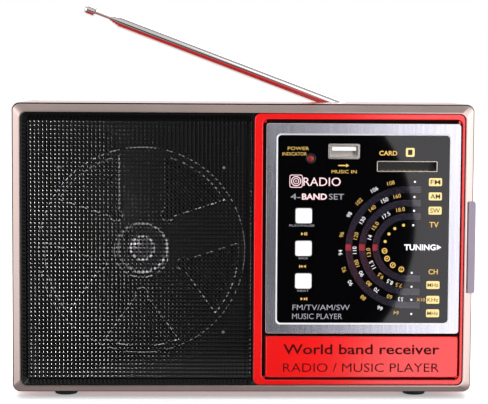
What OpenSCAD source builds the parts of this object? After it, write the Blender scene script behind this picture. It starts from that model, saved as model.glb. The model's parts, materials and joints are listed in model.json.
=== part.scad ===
// Portable shortwave receiver with a media player: red cabinet, round tuning dial,
// perforated speaker grille and a swivelling telescopic antenna.
// X runs to the right seen from the front, Y runs to the back, Z is up.
// The origin is on the table, under the middle of the case.

/* [Case] */
// Width of the case
case_w = 210; // [209:0.5:211]
// Height of the case without its feet
case_h = 132; // [131.5:0.5:132.5]
// Depth of the case
case_d = 70; // [70:0.5:72]
// Thickness of the moulded walls
wall = 2.2; // [2:0.1:2.4]
// Height of the rubber feet
foot_h = 3; // [2:0.5:5]
// Width of the dark line that shows round the silver frame
band_line = 0.6; // [0.3:0.1:1]

/* [Grille] */
// Middle of the speaker, across
speaker_x = -46.2; // [-48:0.1:-45.9]
// Middle of the speaker, up
speaker_z = 68; // [67:0.1:69]
// Outer radius of the speaker
speaker_r = 49.6; // [48:0.1:49.8]
// Width of each spoke of the speaker trim
spoke_w = 21; // [16:0.5:24]
// Radius of the speaker magnet
magnet_r = 24; // [20:0.5:24]

/* [Dial] */
// Middle of the tuning dial, across
dial_x = 74.6; // [74:0.1:75.2]
// Middle of the tuning dial, up
dial_z = 69.9; // [69:0.1:70.5]
// Mean radius of the outer scale window
scale_r = 26.5; // [26:0.1:27]
// Step in radius from one scale window to the next
scale_step = 6.15; // [5:0.05:6.5]
// Width of a scale window
scale_w = 3.1; // [2.5:0.1:3.5]
// Radius of the tuning wheel
wheel_r = 31.8; // [31:0.1:32]

/* [Buttons] */
// Middle of the button column, across
button_x = 27.4; // [26:0.1:29]
// Width of a button
button_w = 7.45; // [6:0.05:9]
// Height of a button
button_h = 6.9; // [6:0.05:8]
// Height of the lowest button's middle
button_z = 54.5; // [54:0.1:55]
// Step from one button to the next
button_step = 14.9; // [14:0.1:15.5]

/* [Antenna] */
// Angle of the antenna above the horizontal as it stands
antenna_angle = 20.55; // [0:0.05:90]
// Distance from the swivel to the middle of the tip
antenna_len = 181.8; // [170:0.1:185]
// Outer diameter of the widest antenna tube
tube_d = 6.2; // [6:0.1:6.4]
// Step in diameter from one tube to the next
tube_step = 1.05; // [1:0.05:1.1]

/* [Hidden] */
$fn = 64;
tiny = 0.01;
gap = 0.05;      // running clearance of a shaft in its hole
side = case_w / 2;
inside = side - wall;
front_y = -case_d / 2;
back_y = case_d / 2;
top_z = foot_h + case_h;
split_y = -22;   // where the black front housing meets the red cabinet

// Front layers, from the front to the back
frame_back = front_y + 3.5;
frame_rim = front_y + 1.8;
mesh_back = frame_back + 0.6;
flange_back = mesh_back + 2;
panel_front = front_y + 0.8;
pocket_y = front_y + 2.4;
trim_front = front_y + 0.3;
lens_front = front_y + 0.9;
lens_back = pocket_y + 1;
disc_front = lens_back + 0.9;
wheel_front = disc_front + 0.6;
wheel_back = wheel_front + 5;
media_front = wheel_back + 0.6;
media_back = media_front + 1.6;
board_front = -16;
board_back = board_front + 1.6;

// Openings and plates of the front, as [left, right, bottom, top]
frame_window = [-101, 100.9, 6.4, 130.9];
grille_window = [-98.2, 3.1, 9.4, 126.9];
panel_area = [4.9, 100.7, 6.6, 130.7];
groove_area = [8.7, 99.4, 8.9, 128.1];
trim_area = [10.3, 98.6, 30.4, 126.2];
lens_area = [15.5, 93.7, 35.2, 120.9];
plate_area = [10.6, 98.5, 10.1, 29];
guard_area = [102.5, 105.9, 49.1, 90.9];
usb_x = 45.5;
usb_z = 113.6;
card_area = [60.5, 88.1, 104.4, 109.3];
led_x = 30.4;
led_z = 110.3;
foot_places = [for (x = [-81.5, 80.5], y = [-19, 24]) [x, y]];

// Rear and side fittings
rabbet_z = 108;
rabbet_y = 24;
rabbet_x = -99;
post_places = [[-98.5, 47], [-98.5, 127], [98, 127], [98, 14]];
post_r = 4;
screw_r = 1.3;
volume_x = 93.5;
volume_z = 94;
volume_r = 13;
jack_y = 10;
jack_z = 66;
knob_y = 9;
band_z = 44.5;
band_travel = 9;
function_z = 26.5;
rod_y = 2;
rod_z = 125;
ferrite_r = 4.5;
inlet_x = 76;
inlet_z = 60;
tray_x = [-99.5, 91.5];
tray_y = [-4, 30.4];
tray_z = [foot_h + wall, 42.2];
door_area = [-96, 88, 7.8, 40];
hinge_y = 33.4;
hinge_z = 9.6;
pivot_x = 97;
pivot_y = 29.5;
pivot_z = 115.1;
elbow_u = 9;
rod_r = 0.95;

// ---- Shared shapes ----

module rounded(w, h, r) {
    translate([r, 0]) square([w - 2 * r, h]);
    translate([0, r]) square([w, h - 2 * r]);
    for (x = [r, w - r], y = [r, h - r]) translate([x, y]) circle(r);
}

// Plate that faces the front, from depth y0 to y1
module plate(a, r, y0, y1, grow = 0) {
    translate([a[0] - grow, y1, a[2] - grow]) rotate([90, 0, 0])
        linear_extrude(y1 - y0) rounded(a[1] - a[0] + 2 * grow, a[3] - a[2] + 2 * grow, r);
}

// Round bar along Y
module bar(x, z, r, y0, y1) {
    translate([x, y1, z]) rotate([90, 0, 0]) cylinder(r = r, h = y1 - y0);
}

// Round bar along X
module cross_bar(y, z, r, x0, x1) {
    translate([x0, y, z]) rotate([0, 90, 0]) cylinder(r = r, h = x1 - x0);
}

module block(x0, x1, y0, y1, z0, z1) {
    translate([x0, y0, z0]) cube([x1 - x0, y1 - y0, z1 - z0]);
}

case_area = [-side, side, foot_h, top_z];

// ---- Cabinet ----

module rear_cabinet() color("firebrick") difference() {
    union() {
        difference() {
            plate(case_area, 3.5, split_y, back_y);
            plate(case_area, 1.6, split_y - 1, back_y - wall, -wall);
        }
        block(rabbet_x - wall, inside, rabbet_y - wall, back_y - wall, rabbet_z - wall, top_z - wall);
        for (p = post_places) bar(p[0], p[1], post_r, split_y, back_y - wall);
        for (x = [door_area[0] - 3, door_area[1]])
            block(x, x + 3, back_y - 4.4, back_y - wall, tray_z[0], 12.5);
        for (x = [-60, -6]) block(x, x + 3, rod_y - 6, rod_y + 6, rod_z - 3, top_z - wall);
    }
    cross_bar(rod_y, rod_z, ferrite_r, -61, 0);
    block(rabbet_x, side + 1, rabbet_y, back_y + 1, rabbet_z, top_z + 1);
    for (p = post_places) {
        bar(p[0], p[1], 3.2, -12, back_y + 1);
        bar(p[0], p[1], screw_r + 0.3, split_y - 1, -11);
    }
    block(door_area[0], door_area[1], back_y - wall - 1, back_y + 1, door_area[2], door_area[3]);
    cross_bar(hinge_y, hinge_z, 0.95, door_area[0] - 2, door_area[1] + 2);
    block(inside - 1, side + 1, -5.6, 0.6, volume_z - 10, volume_z + 10);
    cross_bar(jack_y, jack_z, 4, inside - 1, side + 1);
    block(inside - 1, side + 1, knob_y - 2.3, knob_y + 2.3, band_z - 6.8, band_z + 6.8);
    block(inside - 1, side + 1, knob_y - 2.3, knob_y + 2.3, function_z - 5.3, function_z + 5.3);
    plate([inlet_x - 11, inlet_x + 11, inlet_z - 7, inlet_z + 7], 1.5, back_y - 4, back_y + 1);
    bar(pivot_x, pivot_z, 1.55, rabbet_y - wall - 1, rabbet_y + 1);
    translate([0, 0, foot_h - 1]) for (p = foot_places)
        translate([p[0], p[1], 0]) cylinder(r = 1.6, h = wall + 2);
}

module front_housing() color("#161416") difference() {
    union() {
        difference() {
            plate(case_area, 3.5, frame_back, split_y);
            plate(case_area, 1.6, frame_back - 1, split_y + 1, -wall);
        }
        difference() {
            block(-inside, 9, mesh_back, flange_back, foot_h + wall, top_z - wall);
            bar(speaker_x, speaker_z, speaker_r - 2.4, mesh_back - 1, flange_back + 1);
        }
        block(9, inside, mesh_back, flange_back, foot_h + wall, 30.5);
        block(9, inside, mesh_back, flange_back, 122.2, top_z - wall);
        for (p = post_places) bar(p[0], p[1], post_r, mesh_back, split_y);
        for (p = board_posts) bar(p[0], p[1], 2.5, flange_back, board_front);
        for (p = media_posts) bar(p[0], p[1], 2.5, flange_back, media_front);
        for (p = speaker_holes) bar(p[0], p[1], 2.2, flange_back, flange_back + 1.2);
    }
    for (p = post_places) bar(p[0], p[1], screw_r + gap, mesh_back + 1, split_y + 1);
    for (p = board_posts) bar(p[0], p[1], 1 + gap, flange_back, board_front + 1);
    for (p = media_posts) bar(p[0], p[1], 1 + gap, flange_back - 0.5, media_front + 1);
    for (p = speaker_holes) bar(p[0], p[1], 1 + gap, mesh_back - 1, flange_back + 2);
    block(inside - 1, side + 1, frame_back - 1, wheel_back + 0.6, dial_z - 20.5, dial_z + 20.5);
}

board_posts = [[8, 12], [89, 12], [8, 126], [89, 126]];
media_posts = [[20, 27], [20, 126], [60, 126]];
speaker_holes = [for (a = [45 : 90 : 315]) [speaker_x + 53 * cos(a), speaker_z + 53 * sin(a)]];

module front_frame() color("#b8a6a2") difference() {
    hull() {
        plate(case_area, 3, frame_rim, frame_back, -band_line);
        plate(frame_window, 3.3, front_y, front_y + tiny, 0.5);
    }
    plate(frame_window, 3, front_y - 1, frame_back + 1);
    block(guard_area[0], side + 1, front_y - 1, frame_back + 1, guard_area[2], guard_area[3]);
}

module wheel_guard() color("#a092a3") difference() {
    hull() {
        block(guard_area[0], guard_area[1] - 0.5, front_y, frame_back, guard_area[2], guard_area[3]);
        block(guard_area[0], guard_area[1], front_y + 0.6, frame_back, guard_area[2] + 1.2, guard_area[3] - 1.2);
    }
    bar(dial_x, dial_z, wheel_r + 0.4, frame_back - 1, frame_back + 1);
}

module grille_surround() color("#141214") difference() {
    plate([frame_window[0] + 0.2, 4.6, frame_window[2] + 0.2, frame_window[3] - 0.2], 2.6,
        panel_front, frame_back);
    hull() {
        plate([grille_window[0] - 2.3, grille_window[1] + 0.3, grille_window[2] - 2.5, grille_window[3] + 3],
            2, panel_front - tiny, panel_front);
        plate(grille_window, 1.6, frame_back - 0.6, frame_back + 1);
    }
}

module speaker_mesh() color("#2c2a2c")
    plate(grille_window, 1.8, frame_back, mesh_back, 1);

module speaker_trim() color("#1c1a1c") translate([speaker_x, flange_back, speaker_z]) rotate([90, 0, 0])
    linear_extrude(flange_back - mesh_back) difference() {
        circle(speaker_r - 2.5);
        difference() {
            circle(speaker_r - 5.6);
            for (a = [18 : 72 : 306]) rotate(a) translate([0, -spoke_w / 2]) square([speaker_r, spoke_w]);
            circle(spoke_w / 2 + 2);
        }
        for (a = [54 : 72 : 342]) rotate(a) translate([20, 0]) circle(2.75);
        circle(12.4);
    }

// ---- Red front panel and what it carries ----

module front_panel() color("#d8100c") difference() {
    plate(panel_area, 2.8, panel_front, mesh_back);
    plate(groove_area, 2.4, panel_front - 1, pocket_y);
    plate(lens_area, 1.8, pocket_y - 1, mesh_back + 1, 1.3);
}

module trim_frame() color("#b4b4bc") difference() {
    plate(trim_area, 1.4, trim_front, pocket_y);
    plate(lens_area, 1.8, trim_front - 1, pocket_y + 1);
    hull() {
        plate(lens_area, 1.8, trim_front + 0.6, trim_front + 0.6 + tiny);
        plate(lens_area, 2, trim_front - tiny, trim_front, 0.6);
    }
}

// Left half of a disc, run on to the right in a straight stretch
module stadium(r, run) {
    intersection() {
        circle(r);
        translate([-r - 1, -r - 1]) square([r + 1, 2 * r + 2]);
    }
    translate([0, -r]) square([run, 2 * r]);
}

// One scale window: the left half of a ring, run on in two straight ends
module scale_window(r, w) difference() {
    stadium(r + w / 2, 6.3);
    stadium(r - w / 2, 7.3);
}

module dial_lens() color("#0c0b0e") difference() {
    union() {
        plate(lens_area, 1.7, lens_front, pocket_y, -0.1);
        plate(lens_area, 1.7, pocket_y, lens_back, 1.2);
    }
    translate([dial_x, lens_back + 1, dial_z]) rotate([90, 0, 0]) linear_extrude(5)
        for (i = [0 : 2]) scale_window(scale_r - i * scale_step, scale_w);
    for (i = [0 : 2]) plate(button_box(i), 1, lens_front - 1, lens_back + 1, 0.2);
    plate(usb_box, 0.8, lens_front - 1, lens_back + 1, 0.1);
    plate(card_area, 0.4, lens_front - 1, lens_back + 1, 0.1);
    bar(led_x, led_z, 2.45, lens_front - 1, lens_back + 1);
}

module arc_windows() color("#3a3444") translate([dial_x, lens_back, dial_z]) rotate([90, 0, 0])
    linear_extrude(lens_back - lens_front - 0.02)
        for (i = [0 : 2]) scale_window(scale_r - i * scale_step, scale_w - 0.04);

module name_plate() color("#d8100c") plate(plate_area, 1.4, panel_front - 0.2, pocket_y);

usb_box = [usb_x - 7.15, usb_x + 7.15, usb_z - 3.45, usb_z + 3.45];

function button_box(i) = [
    button_x - button_w / 2, button_x + button_w / 2,
    button_z + i * button_step - button_h / 2, button_z + i * button_step + button_h / 2
];

module button(i) color("#e9e6e8") {
    plate(button_box(i), 1, lens_front - 0.9, lens_back + 0.6);
    plate([button_x - 1.5, button_x + 1.5, button_box(i)[2] + 2, button_box(i)[3] - 2], 0.5,
        lens_back + 0.6, media_front - 3.3);
    plate(button_box(i), 1.2, lens_back + 0.1, lens_back + 0.9, 1);
}

module play_button() button(2);
module back_button() button(1);
module next_button() button(0);

module tact_switches() color("#202226") for (i = [0 : 2]) {
    plate([button_x - 3, button_x + 3, button_box(i)[2] + 0.45, button_box(i)[3] - 0.45], 0.4,
        media_front - 1.4, media_front);
    bar(button_x, button_z + i * button_step, 1.4, media_front - 2.3, media_front - 1.4);
}

module led() color("#e02018") {
    bar(led_x, led_z, 1.5, lens_front - 0.4, media_front);
    bar(led_x, led_z, 2.4, lens_front, lens_front + 1);
}

module usb_shell() color("#c8c8cc") difference() {
    union() {
        plate(usb_box, 0.8, lens_front - 0.3, lens_front + 0.4);
        plate(usb_box, 0.6, lens_front, media_front, -0.55);
    }
    plate(usb_box, 0.4, lens_front - 1, media_front - 0.4, -0.95);
}

module usb_tongue() color("#f0f0f0")
    block(usb_x - 5.6, usb_x + 5.6, lens_front + 0.6, media_front - 0.4, usb_z + 0.3, usb_z + 2.2);

module card_shell() color("#c0c0c6") difference() {
    plate(card_area, 0.4, lens_front - 0.1, media_front);
    plate(card_area, 0.2, lens_front - 1, media_front - 1, -0.35);
}

module card_contacts() color("#c8a24a") for (i = [0 : 8])
    block(card_area[0] + 2.6 + i * 2.5, card_area[0] + 4.1 + i * 2.5, media_front - 3, media_front - 1,
        card_area[2] + 0.35, card_area[2] + 0.8);

module media_board() color("darkgreen") difference() {
    union() {
        block(12, 42.4, media_front, media_back, 23, 130);
        block(12, 92, media_front, media_back, 102.5, 130);
    }
    for (p = media_posts) bar(p[0], p[1], 1 + gap, media_front - 1, media_back + 1);
    block(85, 93, media_front - 1, media_back + 1, 122, 131);
}

// ---- Tuning drive ----

module tuning_wheel() color("#8d8390") difference() {
    union() {
        bar(dial_x, dial_z, wheel_r, wheel_front, wheel_back);
        bar(dial_x, dial_z, 6, wheel_front, wheel_back + 0.2);
    }
    difference() {
        bar(dial_x, dial_z, wheel_r - 3, wheel_front + 2, wheel_back + 1);
        bar(dial_x, dial_z, 6, wheel_front + 1, wheel_back + 2);
    }
    bar(dial_x, dial_z, 3, wheel_front - 1, wheel_back + 1);
}

module dial_disc() color("#1b1920") difference() {
    bar(dial_x, dial_z, scale_r + 2.2, disc_front, wheel_front);
    bar(dial_x, dial_z, 3, disc_front - 1, wheel_front + 1);
}

module tuning_shaft() color("#c9b27a") difference() {
    bar(dial_x, dial_z, 3, disc_front, board_front - 1);
    bar(dial_x, dial_z, 1.25, disc_front - 1, disc_front + 6);
}

module wheel_screw() color("silver") {
    bar(dial_x, dial_z, 3, disc_front - 0.7, disc_front);
    bar(dial_x, dial_z, 1.25, disc_front, disc_front + 5);
}

module tuning_capacitor() color("#e4e0d4") difference() {
    union() {
        block(dial_x - 10, dial_x + 10, wheel_back + 1.2, board_front, dial_z - 10, dial_z + 10);
        bar(dial_x, dial_z, 5, wheel_back + 0.5, wheel_back + 1.2);
    }
    bar(dial_x, dial_z, 3 + gap, wheel_back, board_front - 0.9);
}

// ---- Boards and electronics ----

module main_board() color("#9a7a3c") difference() {
    block(4.5, 92.5, board_front, board_back, 8, 130);
    for (p = board_posts) bar(p[0], p[1], 1 + gap, board_front - 1, board_back + 1);
}

module volume_wheel() color("#8d8390") {
    bar(volume_x, volume_z, volume_r, -5, 0);
    bar(volume_x, volume_z, 3, -12, -5);
}

module volume_control() color("#7c8a8c") difference() {
    block(volume_x - 8, volume_x + 8, board_back, -6, volume_z - 8, volume_z + 8);
    bar(volume_x, volume_z, 3 + gap, -12.2, -5);
}

// Slide knob on the right wall: a cap outside and a stem through the slot
module slide_knob(z) {
    block(side + 0.2, side + 1.8, knob_y - 2.8, knob_y + 2.8, z - 2.8, z + 2.8);
    block(side - 7, side + 0.2, knob_y - 2, knob_y + 2, z - 2, z + 2);
}

module slide_switch(z, half) difference() {
    block(side - 12, inside - 0.1, knob_y - 4.5, knob_y + 4.5, z - half - 1.5, z + half + 1.5);
    block(side - 7.4, side, knob_y - 2.3, knob_y + 2.3, z - half, z + half);
}

module band_knob() color("#202022") slide_knob(band_z + band_travel / 2);
module band_switch() color("#b8bcc0") slide_switch(band_z, 6.8);
module function_knob() color("#202022") slide_knob(function_z);
module function_switch() color("#b8bcc0") slide_switch(function_z, 5.3);

module headphone_jack() color("#18181a") difference() {
    union() {
        block(side - 16, inside - 0.1, jack_y - 5, jack_y + 5, jack_z - 5.5, jack_z + 5.5);
        cross_bar(jack_y, jack_z, 3.9, inside - 1, side + 0.2);
    }
    cross_bar(jack_y, jack_z, 1.8, side - 14, side + 1);
}

module ferrite_rod() color("#3a3634") cross_bar(rod_y, rod_z, ferrite_r, -93, 30);

module antenna_coils() color("#c07838") for (x = [-88, 4]) difference() {
    cross_bar(rod_y, rod_z, ferrite_r + 1.5, x, x + 20);
    cross_bar(rod_y, rod_z, ferrite_r, x - 1, x + 21);
}

module if_cans() color("#c4c6c8") for (x = [14 : 14 : 56]) {
    block(x, x + 7.6, board_back, board_back + 9, 30, 37.6);
    bar(x + 3.8, 33.8, 2, board_back + 9, board_back + 9.4);
}

module board_parts() color("#26282c") {
    block(20, 32, board_back, board_back + 3, 66, 86);
    block(46, 54, board_back, board_back + 3, 50, 66);
    for (p = [[64, 20, 5, 9.5], [78, 20, 4, 9], [68, 47, 4, 11], [14, 108, 5, 13], [30, 106, 3, 8]])
        bar(p[0], p[1], p[2], board_back, board_back + p[3]);
}

module transformer_core() color("#6c6a68") difference() {
    block(20, 58, 16, back_y - wall, 52, 84);
    for (x = [26.5, 42.5]) block(x, x + 9, 15, back_y, 58, 78);
}

module transformer_winding() color("#c8a23a") difference() {
    block(27, 51, 11, 32, 58.5, 77.5);
    block(35.4, 42.6, 15.9, 33, 57, 79);
}

module mains_inlet() color("#1a1a1c") difference() {
    union() {
        plate([inlet_x - 10.9, inlet_x + 10.9, inlet_z - 6.9, inlet_z + 6.9], 1.5, back_y - 3.9, back_y);
        block(inlet_x - 9, inlet_x + 9, back_y - 18, back_y - 3.9, inlet_z - 5.5, inlet_z + 5.5);
    }
    difference() {
        plate([inlet_x - 7.8, inlet_x + 7.8, inlet_z - 3.8, inlet_z + 3.8], 3.7, back_y - 14, back_y + 1);
        for (s = [-1, 1]) bar(inlet_x + s * 4.3, inlet_z, 1.2, back_y - 15, back_y - 4);
    }
}

// ---- Speaker: round about its own axis, front towards -Y ----

module about_speaker() translate([speaker_x, 0, speaker_z]) rotate([-90, 0, 0]) rotate_extrude() children();

module speaker_basket() color("#3c3c40") about_speaker() polygon([
    [43, flange_back], [speaker_r, flange_back], [speaker_r, flange_back + 1.4],
    [45, flange_back + 1.4], [26, -11], [26, -9.5], [14.2, -9.5], [14.2, -10.5],
    [24.5, -10.5], [43, flange_back + 1.4]
]);

module speaker_cone() color("#242224") about_speaker() polygon([
    [0, -21.2], [6, -20.4], [12, -17], [12.6, -16], [39.6, flange_back + 1.6],
    [40, flange_back + 2.4], [13.4, -15], [13.4, -9], [12.8, -9], [12.8, -15.4], [11.6, -16.2],
    [6, -19.6], [0, -20.4]
]);

module speaker_magnet() color("#4a4a4e") about_speaker() difference() {
    translate([0, -9.5]) square([magnet_r, 13.5]);
    translate([12.4, -10]) square([1.6, 8]);
}

// ---- Batteries ----

module battery_tray() color("#241f20") difference() {
    block(tray_x[0], tray_x[1], tray_y[0], tray_y[1], tray_z[0], tray_z[1]);
    block(tray_x[0] + 1.5, tray_x[1] - 1.5, tray_y[0] + 1.5, tray_y[1] + 1, tray_z[0] + 1.2, tray_z[1] - 1.3);
}

cell_y = tray_y[0] + 18.6;
cell_z = tray_z[0] + 18.2;

module battery_contacts() color("#d0d0d2") {
    for (x = [tray_x[0] + 1.5, tray_x[1] - 2]) block(x, x + 0.5, cell_y - 8, cell_y + 8, cell_z - 8, cell_z + 8);
    translate([tray_x[0] + 2, cell_y, cell_z]) rotate([0, 90, 0])
        for (i = [0 : 3]) translate([0, 0, 0.5 + i * 0.9]) rotate_extrude() translate([8 - i * 1.4, 0]) circle(0.5);
}

module battery_door() color("firebrick") difference() {
    union() {
        block(door_area[0] + 0.4, door_area[1] - 0.4, back_y - 2.1, back_y - 0.1, hinge_z, door_area[3] - 0.4);
        cross_bar(hinge_y, hinge_z, 1.5, door_area[0] + 0.4, door_area[1] - 0.4);
        cross_bar(hinge_y, hinge_z, 0.9, door_area[0] - 1.6, door_area[1] + 1.6);
    }
    for (i = [0 : 2]) block(-16, 8, back_y - 0.6, back_y, 33 - i * 2, 34 - i * 2);
}

// ---- Feet and screws ----

module feet() color("#1c1c1c") for (p = foot_places) translate([p[0], p[1], 0]) {
    cylinder(r = 5.25, h = foot_h);
    cylinder(r = 1.6, h = foot_h + wall);
}

// Screw along Y with its head towards the back
module back_screw(x, z, r, head_r, tip_y, seat_y, head_h) {
    bar(x, z, r, tip_y, seat_y);
    bar(x, z, head_r, seat_y, seat_y + head_h);
}

module cabinet_screws() color("#8c8c90") for (p = post_places)
    back_screw(p[0], p[1], screw_r, 2.9, flange_back, -12, 2);

module board_screws() color("#a8a8ac") {
    for (p = board_posts) back_screw(p[0], p[1], 1, 2, board_front - 6, board_back, 1.3);
    for (p = media_posts) back_screw(p[0], p[1], 1, 2, flange_back, media_back, 1.3);
    for (p = speaker_holes) back_screw(p[0], p[1], 1, 4.2, mesh_back + 0.3, flange_back + 1.4, 1.2);
}

// ---- Telescopic antenna: drawn along +X from its swivel, then swung up ----

module at_swivel() translate([pivot_x, pivot_y, pivot_z]) rotate([0, 180 + antenna_angle, 0]) children();

module tube(d, wall_t, u0, u1) rotate([0, 90, 0]) translate([0, 0, u0]) difference() {
    cylinder(d = d, h = u1 - u0);
    translate([0, 0, -1]) cylinder(d = d - 2 * wall_t, h = u1 - u0 + 2);
}

tube_t = tube_step / 2 - gap;
tube_start = elbow_u + 5;
tube_end = antenna_len - 15;
tube_lap = 1.5;

module antenna_screw() color("#9a9a9e") difference() {
    union() {
        bar(pivot_x, pivot_z, 1.5, rabbet_y - wall - 3, 26.6);
        bar(pivot_x, pivot_z, 3, 26.6, 28.4);
    }
    block(pivot_x - 3.2, pivot_x + 3.2, 27.8, 29, pivot_z - 0.4, pivot_z + 0.4);
}

module antenna_foot() color("#c8c8cc") at_swivel() difference() {
    union() {
        translate([0, rabbet_y + 0.3 - pivot_y, 0]) rotate([-90, 0, 0]) cylinder(r = 5.6, h = 2.2);
        translate([0, rabbet_y + 0.3 - pivot_y, -3.4]) cube([elbow_u + 3, 2.2, 6.8]);
        for (z = [-3.4, 1.5]) translate([elbow_u, 0, z]) {
            cylinder(r = 2.9, h = 1.9);
            translate([-2.9, rabbet_y + 0.3 - pivot_y, 0]) cube([5.8, pivot_y - rabbet_y - 0.3, 1.9]);
        }
    }
    translate([0, -10, 0]) rotate([-90, 0, 0]) cylinder(r = 1.5 + gap, h = 20);
    translate([elbow_u, 0, -5]) cylinder(r = 1, h = 10);
}

module antenna_pin() color("#8c8c90") at_swivel() translate([elbow_u, 0, -3.6]) cylinder(r = 1, h = 7.2);

module antenna_elbow() color("#c8c8cc") at_swivel() difference() {
    union() {
        translate([elbow_u, 0, -1.3]) cylinder(r = 2.6, h = 2.6);
        translate([elbow_u, -2.2, -1.3]) cube([3.6, 4.4, 2.6]);
        translate([elbow_u + 3.5, 0, 0]) rotate([0, 90, 0]) cylinder(r = tube_d / 2, h = 1.5);
    }
    translate([elbow_u, 0, -2]) cylinder(r = 1 + gap, h = 4);
}

module antenna_section(i) color("#d4d4d8") at_swivel()
    tube(tube_d - (i - 1) * tube_step, tube_t, tube_start + (i > 1 ? 0.5 : 0), tube_end + (i - 1) * tube_lap);

module antenna_tube_1() antenna_section(1);
module antenna_tube_2() antenna_section(2);
module antenna_tube_3() antenna_section(3);
module antenna_tube_4() antenna_section(4);

module antenna_rod() color("#d4d4d8") at_swivel() rotate([0, 90, 0]) {
    translate([0, 0, tube_start + 0.5]) cylinder(r = rod_r, h = antenna_len - tube_start - 2);
    translate([0, 0, antenna_len]) rotate_extrude() polygon([
        [0, -2.8], [1.9, -2.8], [2.5, -2.2], [2.5, 1.6], [2.2, 2.3], [1.5, 2.8], [0, 2.8]
    ]);
}

rear_cabinet();
front_housing();
front_frame();
grille_surround();
speaker_mesh();
speaker_trim();
front_panel();
trim_frame();
dial_lens();
arc_windows();
name_plate();
tuning_wheel();
dial_disc();
tuning_shaft();
wheel_screw();
wheel_guard();
tuning_capacitor();
play_button();
back_button();
next_button();
tact_switches();
media_board();
led();
usb_shell();
usb_tongue();
card_shell();
card_contacts();
main_board();
volume_wheel();
volume_control();
band_knob();
band_switch();
function_knob();
function_switch();
headphone_jack();
ferrite_rod();
antenna_coils();
if_cans();
board_parts();
transformer_core();
transformer_winding();
mains_inlet();
speaker_basket();
speaker_cone();
speaker_magnet();
battery_tray();
battery_contacts();
battery_door();
feet();
cabinet_screws();
board_screws();
antenna_screw();
antenna_foot();
antenna_pin();
antenna_elbow();
antenna_tube_1();
antenna_tube_2();
antenna_tube_3();
antenna_tube_4();
antenna_rod();
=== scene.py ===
# Portable shortwave receiver: the looks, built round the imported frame
import json
from math import cos, pi, radians, sin

import bmesh
import bpy
from mathutils import Matrix, Vector


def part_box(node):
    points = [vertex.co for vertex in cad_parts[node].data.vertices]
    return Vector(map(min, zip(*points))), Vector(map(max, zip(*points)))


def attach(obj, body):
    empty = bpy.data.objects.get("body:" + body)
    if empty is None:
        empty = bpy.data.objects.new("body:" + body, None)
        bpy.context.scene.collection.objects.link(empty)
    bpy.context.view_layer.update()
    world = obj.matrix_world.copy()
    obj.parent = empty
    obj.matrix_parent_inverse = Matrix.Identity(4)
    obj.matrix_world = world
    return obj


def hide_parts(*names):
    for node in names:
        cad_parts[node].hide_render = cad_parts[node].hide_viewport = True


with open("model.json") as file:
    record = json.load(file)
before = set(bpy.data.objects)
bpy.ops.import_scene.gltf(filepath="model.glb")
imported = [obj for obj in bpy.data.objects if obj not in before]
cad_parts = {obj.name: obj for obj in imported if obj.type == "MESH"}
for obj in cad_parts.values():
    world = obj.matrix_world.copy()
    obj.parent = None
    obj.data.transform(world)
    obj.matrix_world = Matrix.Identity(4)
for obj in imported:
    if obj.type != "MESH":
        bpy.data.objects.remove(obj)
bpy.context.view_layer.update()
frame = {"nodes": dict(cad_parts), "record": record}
nodes = frame["nodes"]
scene = bpy.context.scene
mm = 0.001


def edges(node):
    # a node's box in millimetres: left, right, front, back, bottom, top
    low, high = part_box(node)
    return [v / mm for pair in zip(low, high) for v in pair]


# camera: level with the top of the set, a little to the left, tilted down
camera = {
    "place": (-21.9, -801.3, 147.6),  # mm
    "down": 4.26,                     # degrees
    "right": 1.65,
    "roll": 0.33,
    "lens": 125.1,                    # mm on a 36 mm sensor
}


def makeCamera(c):
    down, turn, roll = radians(c["down"]), radians(c["right"]), radians(c["roll"])
    data = bpy.data.cameras.new("camera")
    data.lens = c["lens"]
    data.sensor_width = 36
    data.clip_start = 0.01
    obj = bpy.data.objects.new("camera", data)
    obj.matrix_world = (Matrix.Translation(Vector(c["place"]) * mm)
                        @ Matrix.Rotation(-turn, 4, "Z")
                        @ Matrix.Rotation(pi / 2 - down, 4, "X")
                        @ Matrix.Rotation(roll, 4, "Z"))
    scene.collection.objects.link(obj)
    scene.camera = obj


makeCamera(camera)
print("camera set")


# colours are sRGB hex, turned to linear here
def rgb(code):
    parts = [int(code[i:i + 2], 16) / 255 for i in (0, 2, 4)]
    linear = [v / 12.92 if v <= 0.04045 else ((v + 0.055) / 1.055) ** 2.4 for v in parts]
    return tuple(linear) + (1,)


def addNode(tree, kind, settings={}, links={}):
    node = tree.nodes.new(kind)
    for key, value in settings.items():
        if isinstance(key, str) and hasattr(node, key):
            setattr(node, key, value)
        else:
            node.inputs[key].default_value = value
    for key, source in links.items():
        tree.links.new(source, node.inputs[key])
    return node


def startMaterial(name):
    mat = bpy.data.materials.new(name)
    mat.use_nodes = True
    mat.node_tree.nodes.clear()
    return mat, mat.node_tree


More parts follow.
